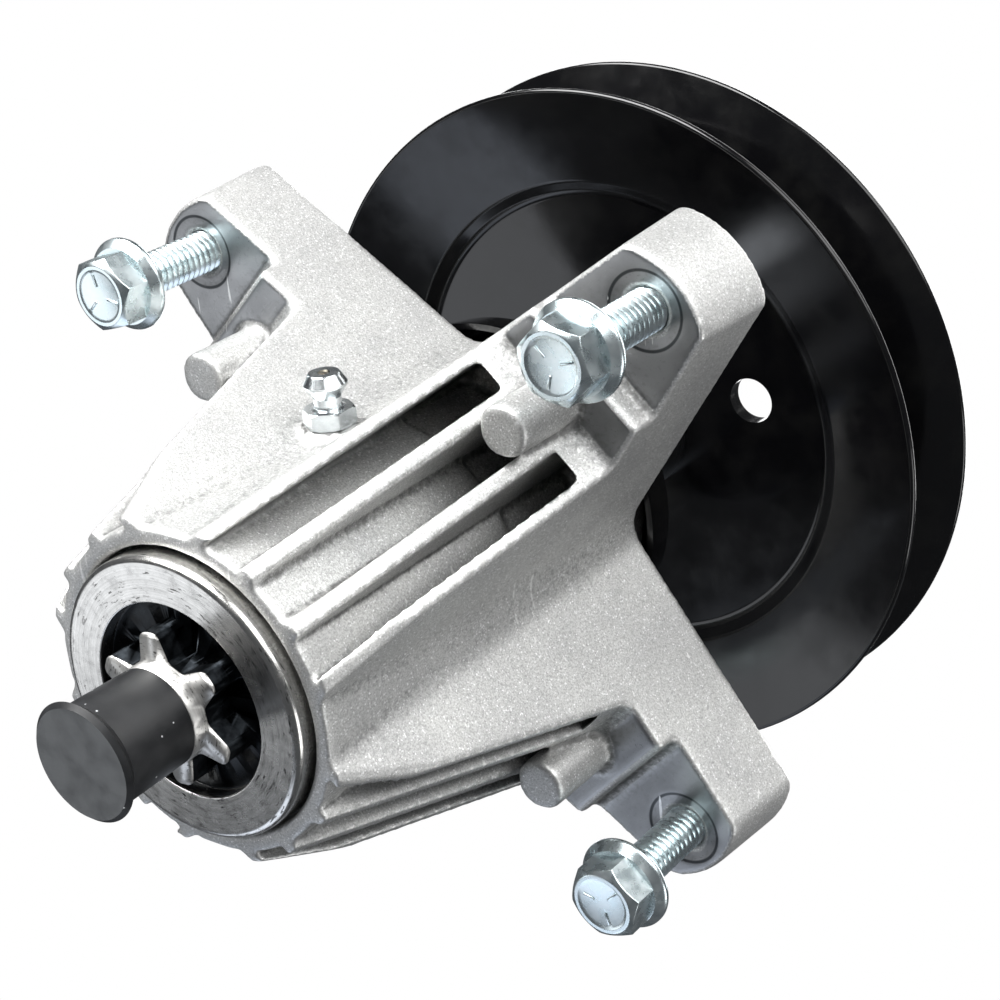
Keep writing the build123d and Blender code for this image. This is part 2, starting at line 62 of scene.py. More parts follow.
# %% Place the camera
camera_right = Vector((-0.807036, -0.098091, 0.582299))
camera_up = Vector((0.162640, 0.911042, 0.378880))
camera_forward = Vector((0.567663, -0.400475, 0.719290))
camera_place = Vector((-0.2337759, 0.16369007, -0.276535856))

bpy.ops.object.camera_add()
camera = bpy.context.object
camera.name = "photo_camera"
camera.matrix_world = Matrix.Translation(camera_place) @ Matrix(
    (camera_right, camera_up, -camera_forward)).transposed().to_4x4()
camera.data.sensor_width = 36.0
camera.data.lens = 77.27
camera.data.clip_start = 0.01
bpy.context.scene.camera = camera
bpy.context.scene.view_settings.view_transform = "Standard"
print("camera is", round(camera_place.length, 4), "m from the origin")

# %% [markdown]
# ## The studio
# Catalogue pictures of metal are taken in a white room with one large soft light. Here the
# room is the world colour, white to the camera and dim to everything that it lights, so that
# gloss paint can still be black. The floor is a plain pale sheet well below the spindle. It
# is kept out of mirror-like reflections, which would otherwise show its far edge in the
# paint.

# %% Lay the floor
bpy.ops.object.select_all(action="DESELECT")
floor_width = 8.0
floor_height = -1.0
bpy.ops.mesh.primitive_plane_add(size=floor_width, location=(0, 0, floor_height))
floor = bpy.context.object
floor.name = "studio_floor"
floor.visible_glossy = False
print("floor lies", -floor_height, "m below the origin")

# %% [markdown]
# ## Two small helpers
# Colours are picked on a screen, so they are written as sRGB hex values and turned to linear
# light by one function. A second one adds a shader node with its settings and links, which
# keeps every material below to a few lines.

# %% Colours and nodes
def linear(hex_colour):
    """Linear RGBA from an sRGB hex colour."""
    parts = [int(hex_colour[k:k + 2], 16) / 255 for k in (1, 3, 5)]
    return [c / 12.92 if c <= 0.04045 else ((c + 0.055) / 1.055) ** 2.4 for c in parts] + [1.0]


def add_node(tree, kind, inputs=None, **settings):
    """Add a shader node, set its options, then give its sockets values or links."""
    node = tree.nodes.new(kind)
    for key, value in settings.items():
        setattr(node, key, value)
    for key, value in (inputs or {}).items():
        if isinstance(value, bpy.types.NodeSocket):
            tree.links.new(value, node.inputs[key])
        else:
            node.inputs[key].default_value = value
    return node

# %% [markdown]
# ## The lights
# One big key light stands up and to the left, as in the photograph. Weaker panels fill the
# right side and the lower left, where the paint and the bolt heads mirror them. A light
# behind and a large one overhead only serve the other sides of the spindle.

# %% Light the room
world = bpy.data.worlds.new("white_studio")
bpy.context.scene.world = world
world.use_nodes = True
sky = world.node_tree
sky.nodes.clear()
seen = add_node(sky, "ShaderNodeLightPath")
lit = add_node(sky, "ShaderNodeBackground", {"Color": linear("#E6EAF0"), "Strength": 0.11})
white = add_node(sky, "ShaderNodeBackground", {"Color": linear("#FFFFFF"), "Strength": 1.0})
room = add_node(sky, "ShaderNodeMixShader",
                {0: seen.outputs["Is Camera Ray"], 1: lit.outputs[0], 2: white.outputs[0]})
add_node(sky, "ShaderNodeOutputWorld", {"Surface": room.outputs[0]})


def soft_light(name, right, up, forward, distance, size, watts, colour):
    """Area light aimed at the spindle, from a direction given as the camera sees it."""
    way = (camera_right * right + camera_up * up + camera_forward * forward).normalized()
    bpy.ops.object.light_add(type="AREA", location=way * distance)
    light = bpy.context.object
    light.name = name
    light.rotation_euler = way.to_track_quat("Z", "Y").to_euler()
    light.data.size = size
    light.data.energy = watts
    light.data.color = linear(colour)[:3]
    light.visible_camera = False


# Name, then right, up and forward, then distance and size in metres, watts and colour
studio_lights = [
    ("key_soft_box", -0.66, 0.94, -0.5, 0.75, 0.62, 17.5, "#FFFFFF"),
    ("upper_right_fill", 0.65, 0.7, -0.65, 0.9, 0.8, 7.8, "#FFFFFF"),
    ("low_right_fill", 0.8, -0.6, -0.35, 0.7, 0.35, 1.3, "#FFFFFF"),
    ("front_fill", 0.25, 0.45, -1.0, 0.6, 0.3, 1.0, "#FFFFFF"),
    ("left_panel", -0.95, -0.36, -0.05, 0.75, 0.34, 0.58, "#F2F5FA"),
    ("low_left_panel", -0.43, -0.84, 0.1, 0.75, 0.43, 0.95, "#DCE4F2"),
    ("back_fill", 0.2, 0.2, 1.0, 1.4, 1.0, 14.0, "#FFFFFF"),
]
for row in studio_lights:
    soft_light(*row)
ceiling_height = 3.0
ceiling_size = 3.0
ceiling_watts = 95.0
bpy.ops.object.light_add(type="AREA", location=(0, 0, ceiling_height))
ceiling = bpy.context.object
ceiling.name = "ceiling_soft_box"
ceiling.data.size = ceiling_size
ceiling.data.energy = ceiling_watts
ceiling.visible_camera = False

# %% [markdown]
# ## Finishes
# Each finish starts from how the real surface was made. All patterns are measured in
# millimetres on Object coordinates, so a grain keeps its size wherever the piece is.

# %% Start a finish
def finish(name, **shader):
    """New material with a Principled shader and Object coordinates."""
    material = bpy.data.materials.new(name)
    material.use_nodes = True
    tree = material.node_tree
    tree.nodes.clear()
    surface = add_node(tree, "ShaderNodeBsdfPrincipled", shader)
    add_node(tree, "ShaderNodeOutputMaterial", {"Surface": surface.outputs[0]})
    place = add_node(tree, "ShaderNodeTexCoord").outputs["Object"]
    print("finish:", name)
    return material, tree, surface, place


def per_mm(size_mm):
    """Texture scale whose pattern repeats about every so many millimetres."""
    return 1.0 / (size_mm * MM)


def noise(tree, place, size_mm, detail=2.0, rough=0.5):
    """Grey noise with features about this many millimetres across."""
    pattern = add_node(tree, "ShaderNodeTexNoise", {
        "Vector": place, "Scale": per_mm(size_mm), "Detail": detail, "Roughness": rough})
    return pattern.outputs["Fac"]


def ramp(tree, value, low, high, to_low=0.0, to_high=1.0):
    """Value stretched from one range to another, and held at the ends."""
    stretch = add_node(tree, "ShaderNodeMapRange", {
        "Value": value, "From Min": low, "From Max": high, "To Min": to_low, "To Max": to_high})
    return stretch.outputs[0]


def math_of(tree, operation, first, second=0.0):
    """One sum on two values."""
    return add_node(tree, "ShaderNodeMath", {0: first, 1: second}, operation=operation).outputs[0]


def part_of(tree, vector, letter):
    """One of the X, Y and Z parts of a vector."""
    return add_node(tree, "ShaderNodeSeparateXYZ", {0: vector}).outputs[letter]


def blend_of(tree, share, first, second):
    """Colour between two colours."""
    mix = add_node(tree, "ShaderNodeMix", {0: share, 6: first, 7: second}, data_type="RGBA")
    return mix.outputs[2]


def bumps(tree, surface, height, depth_mm, strength=1.0):
    """Bump on the shader from a height pattern of a real depth."""
    bump = add_node(tree, "ShaderNodeBump", {
        "Height": height, "Distance": depth_mm * MM, "Strength": strength})
    tree.links.new(bump.outputs[0], surface.inputs["Normal"])


def radius_of(tree, place):
    """Distance from the spindle axis, in metres."""
    flat = add_node(tree, "ShaderNodeVectorMath", {0: place, 1: (1, 1, 0)}, operation="MULTIPLY")
    length = add_node(tree, "ShaderNodeVectorMath", {0: flat.outputs[0]}, operation="LENGTH")
    return length.outputs["Value"]

# %% [markdown]
# ### Shot-blasted cast aluminium
# The housing is die cast and then blasted, which leaves a fine grain. Its sparkle is painted in as white
# glints, and the worn edges are brighter, partly from wear and partly as a painted highlight. The pads and
# the shelves beside them are smoother and darker.

# %% Cast aluminium
cast_finish, tree, surface, place = finish("shot_blasted_cast_aluminium", Metallic=1.0)
grain = noise(tree, place, 0.34, 3.0, 0.7)
patches = noise(tree, place, 12.0, 3.0, 0.55)
speck = add_node(tree, "ShaderNodeTexVoronoi", {"Vector": place, "Scale": per_mm(0.26)})
speck_share = add_node(tree, "ShaderNodeSeparateColor", {0: speck.outputs["Color"]}).outputs[0]
speck_glint = ramp(tree, speck_share, 0.9, 1.0, 0.0, 0.7)
tone = blend_of(tree, ramp(tree, patches, 0.35, 0.65), linear("#C6C6C5"), linear("#D3D3D1"))
tone = blend_of(tree, ramp(tree, grain, 0.44, 0.6, 0.0, 0.5), tone, linear("#8C8C8B"))
# White specks in the grain are painted glints.
tone = blend_of(tree, speck_glint, tone, linear("#FFFFFF"))

# %% [markdown]
# The pads that meet the deck are milled, so they are told from the blasted skin by where
# they are and by facing straight down. A bolt's washer face leaves a thin dark ring round
# its hole, and handling leaves a few long pale scratches.

# %% Pads, bolt rings and scratches
bolt_circle = 70.0
bolt_ring_radius = 7.0
height = part_of(tree, place, "Z")
facing = part_of(tree, add_node(tree, "ShaderNodeNewGeometry").outputs["Normal"], "Z")
above_shelf = ramp(tree, height, -5.5 * MM, -5.2 * MM)
below_ear = ramp(tree, height, 0.8 * MM, 0.5 * MM)
milled_band = math_of(tree, "MULTIPLY", above_shelf, below_ear)
pad = math_of(tree, "MULTIPLY", ramp(tree, facing, -0.96, -0.985), milled_band)
folded = add_node(tree, "ShaderNodeVectorMath", {0: place}, operation="ABSOLUTE").outputs[0]
bolt_side = bolt_circle * math.cos(math.pi / 4) * MM
from_bolt = add_node(tree, "ShaderNodeVectorMath", {0: folded, 1: (bolt_side, bolt_side, 0)},
                     operation="SUBTRACT").outputs[0]
past_ring = math_of(tree, "SUBTRACT", radius_of(tree, from_bolt), bolt_ring_radius * MM)
off_ring = math_of(tree, "ABSOLUTE", past_ring)
ring_line = math_of(tree, "MULTIPLY", pad, ramp(tree, off_ring, 0.38 * MM, 0.18 * MM))
pad_tone = blend_of(tree, ramp(tree, patches, 0.35, 0.65), linear("#88898A"), linear("#9C9D9E"))
tone = blend_of(tree, pad, tone, pad_tone)
tone = blend_of(tree, ring_line, tone, linear("#47494B"))
drag = add_node(tree, "ShaderNodeMapping", {
    "Vector": place, "Rotation": (0.5, 0.3, 0.8), "Scale": (1, 0.06, 1)})
scratch = ramp(tree, noise(tree, drag.outputs[0], 1.1, 1.0), 0.74, 0.755, 0.0, 0.6)
tone = blend_of(tree, scratch, tone, linear("#F4F4F2"))

# %% [markdown]
# Blasting and handling polish the edges, and a painted highlight is laid on them as well. The hollows are
# darkened with painted shade. How sharp the skin is at each point is painted on the casting further down,
# as the colour attribute "wear", and the finish reads it here. Round the grease fitting some oil has
# seeped out.

# %% Worn edges with a painted highlight, and painted shade in the hollows
wear_and_shade_level = add_node(tree, "ShaderNodeAttribute", attribute_name="wear").outputs["Fac"]
ragged = math_of(tree, "ADD", wear_and_shade_level, ramp(tree, noise(tree, place, 0.9, 3.0), 0.3, 0.7, -0.05, 0.05))
worn_and_highlighted_edge = ramp(tree, ragged, 0.6, 0.76, 0.0, 0.75)
painted_hollow_shade = ramp(tree, ragged, 0.44, 0.32, 0.0, 0.85)
# Edges are lightened for real wear and for a painted highlight. Hollows are darkened as painted shade.
tone = blend_of(tree, worn_and_highlighted_edge, tone, linear("#F1F1EF"))
tone = blend_of(tree, painted_hollow_shade, tone, linear("#6E6E6D"))
fitting_height = -24.5
oil_ring_radius = 4.75
fitting_place = add_node(tree, "ShaderNodeCombineXYZ", {
    0: part_of(tree, place, "X"),
    1: math_of(tree, "SUBTRACT", height, fitting_height * MM)}).outputs[0]
past_hexagon = math_of(tree, "SUBTRACT", radius_of(tree, fitting_place), oil_ring_radius * MM)
off_hexagon = math_of(tree, "ABSOLUTE", past_hexagon)
oily = math_of(tree, "MULTIPLY", ramp(tree, off_hexagon, 0.7 * MM, 0.3 * MM),
               ramp(tree, noise(tree, place, 2.5, 2.0), 0.45, 0.6, 0.0, 0.8))
north = ramp(tree, part_of(tree, place, "Y"), 25.0 * MM, 26.0 * MM)
tone = blend_of(tree, math_of(tree, "MULTIPLY", oily, north), tone, linear("#2C2925"))
tree.links.new(tone, surface.inputs["Base Color"])
sand_rough = ramp(tree, grain, 0.3, 0.7, 0.48, 0.62)
smooth_share = math_of(tree, "MAXIMUM", pad, worn_and_highlighted_edge)
rough = math_of(tree, "SUBTRACT", sand_rough, math_of(tree, "MULTIPLY", smooth_share, 0.22))
tree.links.new(rough, surface.inputs["Roughness"])
sand = math_of(tree, "ADD", grain, math_of(tree, "MULTIPLY", speck_glint, 0.3))
flat = math_of(tree, "SUBTRACT", 1.0, math_of(tree, "MULTIPLY", pad, 0.8))
bumps(tree, surface, math_of(tree, "MULTIPLY", sand, flat), 0.09, 0.8)

# %% [markdown]
# ### Gloss black paint
# The pulley halves and the dust cover are pressed steel with a thin gloss black coat. It
# follows the sheet closely, so only a faint waviness shows in its reflections.

# %% Black paint
paint_finish, tree, surface, place = finish("gloss_black_paint", IOR=1.5)
haze = noise(tree, place, 9.0, 4.0, 0.6)
tree.links.new(ramp(tree, haze, 0.3, 0.7, 0.08, 0.2), surface.inputs["Roughness"])
tree.links.new(blend_of(tree, ramp(tree, haze, 0.45, 0.7), linear("#050506"), linear("#0A0A0A")),
               surface.inputs["Base Color"])
bumps(tree, surface, noise(tree, place, 7.0, 2.0), 0.015, 0.4)

# %% [markdown]
# ### Bright zinc plate
# The bolts, the nut and the washer are zinc plated with a pale blue passivation: a bright
# metal, a little clouded, with fine marks from tumbling.

# %% Zinc plate
def plated(name, dark, light, rough_low, rough_high):
    """Plated steel, a little clouded, with a fine tumbled skin."""
    material, tree, surface, place = finish(name, Metallic=1.0)
    cloud = noise(tree, place, 2.5, 3.0)
    fine = noise(tree, place, 0.35, 2.0)
    tree.links.new(blend_of(tree, ramp(tree, cloud, 0.35, 0.65), linear(dark), linear(light)),
                   surface.inputs["Base Color"])
    tree.links.new(ramp(tree, cloud, 0.3, 0.7, rough_low, rough_high), surface.inputs["Roughness"])
    bumps(tree, surface, fine, 0.004, 0.4)
    return material


zinc_finish = plated("blue_zinc_plate", "#D8E6E9", "#ECF6F8", 0.24, 0.32)
fitting_finish = plated("nickel_fitting_plate", "#C2C7C9", "#D8DDDE", 0.18, 0.26)

# %% [markdown]
# ### Turned and ground steel
# The shaft is forged, turned and ground. Its blade flange shows fine rings from the wheel
# with dark scratches and a polished outer edge, and the recess round the star keeps the
# dark oxide of its heat treatment under a film of oil.

# %% Shaft steel
shaft_finish, tree, surface, place = finish("ground_and_oxide_steel", Metallic=1.0)
radius = radius_of(tree, place)
height = part_of(tree, place, "Z")
ring_place = add_node(tree, "ShaderNodeCombineXYZ", {0: radius, 1: height}).outputs[0]
rings = noise(tree, ring_place, 0.3, 3.0)
smear = noise(tree, place, 3.0, 4.0, 0.65)
steel = blend_of(tree, ramp(tree, rings, 0.35, 0.65), linear("#C6C5C2"), linear("#D6D5D2"))
steel = blend_of(tree, ramp(tree, smear, 0.55, 0.75, 0.0, 0.35), steel, linear("#8A8987"))

# %% [markdown]
# The flange has spun against grit, so its dark flecks are long in the direction of turning.
# The pattern is laid out by radius and angle in place of X and Y, which bends it round the
# axis. The recess is told from the flange by its radius and height.

# %% Scratches round the blade flange
recess_radius = 17.5
turn = math_of(tree, "ARCTAN2", part_of(tree, place, "Y"), part_of(tree, place, "X"))
along_ring = math_of(tree, "MULTIPLY", turn, 4.0 * MM)
fleck_place = add_node(tree, "ShaderNodeCombineXYZ", {0: radius, 1: along_ring, 2: height}).outputs[0]
fleck = ramp(tree, noise(tree, fleck_place, 0.4, 2.0, 0.6), 0.6, 0.65, 0.0, 0.85)
where_worn = ramp(tree, noise(tree, place, 4.0, 2.0), 0.38, 0.55)
steel = blend_of(tree, math_of(tree, "MULTIPLY", fleck, where_worn), steel, linear("#4A4947"))
oxide = blend_of(tree, ramp(tree, smear, 0.35, 0.65), linear("#0B0D0F"), linear("#24272A"))
inside = ramp(tree, radius, (recess_radius + 0.1) * MM, (recess_radius - 0.1) * MM)
in_recess = math_of(tree, "MULTIPLY", inside, ramp(tree, height, -72.1 * MM, -72.0 * MM))
in_recess = math_of(tree, "MULTIPLY", in_recess, ramp(tree, height, -50.0 * MM, -60.0 * MM))
tree.links.new(blend_of(tree, in_recess, steel, oxide), surface.inputs["Base Color"])
star_satin = math_of(tree, "MULTIPLY", inside,
                     ramp(tree, height, -68.5 * MM, -69.0 * MM, 0.0, 0.2))
steel_rough = math_of(tree, "ADD", ramp(tree, smear, 0.3, 0.7, 0.18, 0.3), star_satin)
tree.links.new(steel_rough, surface.inputs["Roughness"])
bumps(tree, surface, rings, 0.01, 0.3)

# %% [markdown]
# ### Spacer, ring and ball steel
# Spacers are turned from tube and keep fine lathe rings. Bearing rings are ground, and the
# balls are lapped to a mirror.

# %% Plain steels
def turned_steel(name, dark, light, rough_low, rough_high, ring_mm):
    """Steel with fine rings round the spindle axis."""
    material, tree, surface, place = finish(name, Metallic=1.0)
    height = part_of(tree, place, "Z")
    along = add_node(tree, "ShaderNodeCombineXYZ", {0: radius_of(tree, place), 1: height}).outputs[0]
    rings = noise(tree, along, ring_mm, 3.0)
    tree.links.new(blend_of(tree, ramp(tree, rings, 0.35, 0.65), linear(dark), linear(light)),
                   surface.inputs["Base Color"])
    tree.links.new(ramp(tree, rings, 0.3, 0.7, rough_low, rough_high), surface.inputs["Roughness"])
    bumps(tree, surface, rings, 0.02, 0.4)
    return material


spacer_finish = turned_steel("oiled_turned_steel", "#55575A", "#7D8084", 0.25, 0.4, 0.4)
ring_finish = turned_steel("ground_bearing_steel", "#B8B8BA", "#DADADC", 0.15, 0.25, 0.25)
ball_finish = turned_steel("lapped_ball_steel", "#D8D8DA", "#EDEDEF", 0.04, 0.07, 1.5)
greased_finish = turned_steel("greased_ball_steel", "#5C5549", "#8D867A", 0.3, 0.45, 1.5)
wire_finish = turned_steel("drawn_spring_wire", "#8A8B8D", "#B0B1B3", 0.25, 0.35, 0.2)

# %% [markdown]
# ### Vinyl, nitrile and nylon
# The cap is dipped soft vinyl, dark grey with dust on it. Its end, which faces down, is painted lighter,
# partly as dust and partly as a painted sheen of the light that it catches. The bearing seals are moulded
# nitrile rubber, and the ball cages are moulded nylon.

# %% Moulded materials
def moulded(name, dark, light, rough_low, rough_high, patch_mm, bump_mm, speck_mm=0.0):
    """Moulded polymer with a soft mottle and, where asked, pale dust and a painted sheen on the faces
    turned down.
    """
    material, tree, surface, place = finish(name, IOR=1.5)
    mottle = noise(tree, place, patch_mm, 3.0)
    colour = blend_of(tree, ramp(tree, mottle, 0.35, 0.65), linear(dark), linear(light))
    if speck_mm:
        cells = add_node(tree, "ShaderNodeTexVoronoi", {"Vector": place, "Scale": per_mm(speck_mm)})
        dots = ramp(tree, cells.outputs["Distance"], 0.055, 0.03)
        colour = blend_of(tree, dots, colour, linear("#B9BBBD"))
        facing = part_of(tree, add_node(tree, "ShaderNodeNewGeometry").outputs["Normal"], "Z")
        # Faces turned down are lightened, partly as dust and partly as a painted sheen.
        end_dust_and_sheen = math_of(tree, "MULTIPLY", ramp(tree, facing, -0.9, -0.98),
                       ramp(tree, mottle, 0.3, 0.6, 0.5, 0.9))
        colour = blend_of(tree, end_dust_and_sheen, colour, linear("#46484A"))
    tree.links.new(colour, surface.inputs["Base Color"])
    tree.links.new(ramp(tree, mottle, 0.3, 0.7, rough_low, rough_high), surface.inputs["Roughness"])
    bumps(tree, surface, noise(tree, place, 0.6, 2.0), bump_mm, 0.5)
    return material


vinyl_finish = moulded("dipped_soft_vinyl", "#101113", "#18191B", 0.4, 0.52, 4.0, 0.02, 4.0)
seal_finish = moulded("nitrile_rubber", "#18181A", "#242427", 0.5, 0.65, 2.0, 0.02)
nylon_finish = moulded("moulded_nylon", "#B8A888", "#CBBD9E", 0.4, 0.5, 2.0, 0.01)

# %% [markdown]
# ## The casting with its soft edges
# A blasted die casting has no sharp edges: the rib crests are half round, the corners are
# bright and a little ragged, and the hollows hold a grey shade. Bevelling hundreds of edges
# by hand would be slow. Here a copy of the housing is remeshed in small voxels and smoothed,
# which rounds every edge by about a millimetre, as the die's own corners and the blast do.
# First come the tools that this and all the later pieces share.

# %% Tools for shaping a piece
merge_gap = 0.001 * MM


def pick(piece):
    """Make one piece the only selected and active one."""
    bpy.ops.object.select_all(action="DESELECT")
    piece.select_set(True)
    bpy.context.view_layer.objects.active = piece


def apply_modifier(piece, kind, **settings):
    """Add one modifier, set it and apply it."""
    modifier = piece.modifiers.new(kind.lower(), kind)
    for key, value in settings.items():
        setattr(modifier, key, value)
    pick(piece)
    bpy.ops.object.modifier_apply(modifier=modifier.name)


def copy_of_node(name, piece_name):
    """Own copy of a CAD node's mesh, with its loose triangles merged."""
    piece = bpy.data.objects.new(piece_name, nodes[name].data.copy())
    bpy.context.collection.objects.link(piece)
    pick(piece)
    bpy.ops.object.mode_set(mode="EDIT")
    bpy.ops.mesh.select_all(action="SELECT")
    bpy.ops.mesh.remove_doubles(threshold=merge_gap)
    bpy.ops.object.mode_set(mode="OBJECT")
    return piece


def place_piece(piece, body, slot, material, *replaced):
    """Give a finished piece its body, material and the nodes that it stands for. The slot is not used."""
    piece.data.materials.clear()
    piece.data.materials.append(material)
    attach(piece, body)
    if replaced:
        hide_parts(*replaced)
    piece.data.calc_loop_triangles()
    print(piece.name, "has", len(piece.data.loop_triangles), "triangles")


# %% [markdown]
# The voxels have to be smaller than the rounding, or the ribs turn lumpy. The skin is
# thinned again afterwards, because the flat walls need far fewer triangles than the edges.

# %% Soften the casting
voxel_mm = 0.6
smoothing_passes = 11
casting_triangles = 180000
casting = copy_of_node("housing", "soft_edged_casting")
apply_modifier(casting, "REMESH", mode="VOXEL", voxel_size=voxel_mm * MM)
apply_modifier(casting, "SMOOTH", factor=0.5, iterations=smoothing_passes)
casting.data.calc_loop_triangles()
share = casting_triangles / len(casting.data.loop_triangles)
apply_modifier(casting, "DECIMATE", ratio=min(1.0, share))
pick(casting)
bpy.ops.object.shade_smooth()

# %% [markdown]
# Blender's dirt paint looks at how the skin bends round each point: light on edges, dark in hollows. It is
# stored as the attribute that the cast finish reads for its worn edges with their painted highlight and
# for the painted shade in the hollows.

# %% Mark the worn, highlighted edges and the shaded hollows
wear = casting.data.color_attributes.new("wear", "BYTE_COLOR", "CORNER")
casting.data.color_attributes.active_color = wear
bpy.ops.paint.vertex_color_dirt(blur_strength=1.0, blur_iterations=1, dirt_angle=0.0, clean_angle=math.pi)
levels = sorted(corner.color[0] for corner in wear.data)
print("wear levels:", [round(levels[int(len(levels) * rank)], 3) for rank in (0.01, 0.1, 0.5, 0.9, 0.99)])
place_piece(casting, "housing_body", "cast_housing", cast_finish, "housing")

# %% [markdown]
# ## Turned shapes
# Bolts, nuts and shafts are turned on a lathe. The same thing is done here: one vertex is
# walked round half of the section by extruding it, and the line is spun about the Z axis.

# %% Spin a section
def turned(name, section_mm, steps=96):
    """Solid of revolution from (radius, height) points in millimetres, both ends on the axis."""
    bpy.ops.object.select_all(action="DESELECT")
    bpy.ops.mesh.primitive_plane_add(size=MM, location=(0, 0, 0))
    piece = bpy.context.object
    piece.name = name
    bpy.ops.object.mode_set(mode="EDIT")
    bpy.ops.mesh.select_all(action="SELECT")
    bpy.ops.mesh.merge(type="CENTER")
    bpy.ops.transform.translate(value=(section_mm[0][0] * MM, 0, section_mm[0][1] * MM))
    for (r1, z1), (r2, z2) in zip(section_mm, section_mm[1:]):
        bpy.ops.mesh.extrude_region_move(
            TRANSFORM_OT_translate={"value": ((r2 - r1) * MM, 0, (z2 - z1) * MM)})
    bpy.ops.mesh.select_all(action="SELECT")
    bpy.ops.mesh.spin(steps=steps, angle=2 * math.pi, center=(0, 0, 0), axis=(0, 0, 1))
    tidy_skin()
    return piece


def tidy_skin():
    """Merge doubled points, turn all faces outwards and leave edit mode."""
    bpy.ops.mesh.select_all(action="SELECT")
    bpy.ops.mesh.remove_doubles(threshold=merge_gap)
    bpy.ops.mesh.normals_make_consistent(inside=False)
    bpy.ops.object.mode_set(mode="OBJECT")


def cut_flat(piece, height_mm, keep):
    """Cut a piece off square at a height, keep the part above or below, and close it."""
    pick(piece)
    bpy.ops.object.mode_set(mode="EDIT")
    bpy.ops.mesh.select_all(action="SELECT")
    bpy.ops.mesh.bisect(plane_co=(0, 0, height_mm * MM), plane_no=(0, 0, 1), use_fill=True,
                        clear_inner=keep == "above", clear_outer=keep == "below")
    tidy_skin()


def combine(piece, tool, operation):
    """Join, cut or trim a piece with another one, which is used up."""
    apply_modifier(piece, "BOOLEAN", operation=operation, solver="EXACT", object=tool)
    bpy.data.objects.remove(tool)


def smooth_skin(piece):
    """Shade the round parts smooth and keep each flat one flat, whatever lies beside it."""
    pick(piece)
    bpy.ops.object.shade_smooth_by_angle(angle=math.radians(32))
    apply_modifier(piece, "WEIGHTED_NORMAL", keep_sharp=True, weight=50)

# %% [markdown]
# Pressed sheet and turned edges have round bends. A section is written as its sharp corners
# and a radius for each one, and this function puts the arc in.

# %% Round the corners of a section
def rounded(corners_mm, bends_mm, steps=10):
    """Section points with a round bend of a given radius at each inner corner."""
    line = [corners_mm[0]]
    for before, corner, after, bend in zip(corners_mm, corners_mm[1:], corners_mm[2:], bends_mm):
        if not bend:
            line.append(corner)
            continue
        back = (Vector(before) - Vector(corner)).normalized()
        on = (Vector(after) - Vector(corner)).normalized()
        half = back.angle(on) / 2
        centre = Vector(corner) + (back + on).normalized() * bend / math.sin(half)
        first = Vector(corner) + back * bend / math.tan(half) - centre
        last = Vector(corner) + on * bend / math.tan(half) - centre
        line += [tuple(centre + first.lerp(last, k / steps).normalized() * bend) for k in range(steps + 1)]
    return line + [corners_mm[-1]]


# %% [markdown]
# ## Screw threads
# A rolled thread is a ridge that climbs one pitch for each turn. One tooth is drawn as a
# short line of points, a pitch high, and the Screw modifier winds it round the axis so that
# each turn meets the next. The ends are cut square and the tip is trimmed to its chamfer.

# %% Wind a thread
thread_depth_share = 0.54


def threaded_rod(name, radius_mm, pitch_mm, low_mm, high_mm, chamfer_low_mm, chamfer_high_mm):
    """Closed screw between two heights, with a chamfer at each end where one is given."""
    depth = thread_depth_share * pitch_mm
    tooth = [(0.0, 0.0), (0.0, 0.18), (depth, 0.52), (depth, 0.66), (0.0, 1.0)]
    start = low_mm - 1.5 * pitch_mm
    bpy.ops.object.select_all(action="DESELECT")
    bpy.ops.mesh.primitive_plane_add(size=MM, location=(0, 0, 0))
    rod = bpy.context.object
    rod.name = name
    bpy.ops.object.mode_set(mode="EDIT")
    bpy.ops.mesh.select_all(action="SELECT")
    bpy.ops.mesh.merge(type="CENTER")
    bpy.ops.transform.translate(value=((radius_mm - depth) * MM, 0, start * MM))
    for (out1, up1), (out2, up2) in zip(tooth, tooth[1:]):
        bpy.ops.mesh.extrude_region_move(
            TRANSFORM_OT_translate={"value": ((out2 - out1) * MM, 0, (up2 - up1) * pitch_mm * MM)})
    bpy.ops.object.mode_set(mode="OBJECT")
    turns = math.ceil((high_mm - low_mm) / pitch_mm) + 3
    apply_modifier(rod, "SCREW", axis="Z", angle=2 * math.pi, screw_offset=pitch_mm * MM,
                   iterations=turns, steps=40, render_steps=40, use_merge_vertices=True,
                   merge_threshold=merge_gap)
    cut_flat(rod, low_mm, "above")
    cut_flat(rod, high_mm, "below")
    outside = radius_mm + 0.2
    blank = turned(name + "_blank", [
        (0, low_mm - 1), (radius_mm - chamfer_low_mm - 1, low_mm - 1),
        (outside, low_mm + chamfer_low_mm + 0.2), (outside, high_mm - chamfer_high_mm - 0.2),
        (radius_mm - chamfer_high_mm - 1, high_mm + 1), (0, high_mm + 1)], 64)
    combine(rod, blank, "INTERSECT")
    return rod

# %% [markdown]
# ## The deck bolts
# These are thread-rolled flange bolts. The head is a hexagon trimmed by a cone, which draws
# the curved line on each flat, with a shallow dish and three raised strength marks on top.

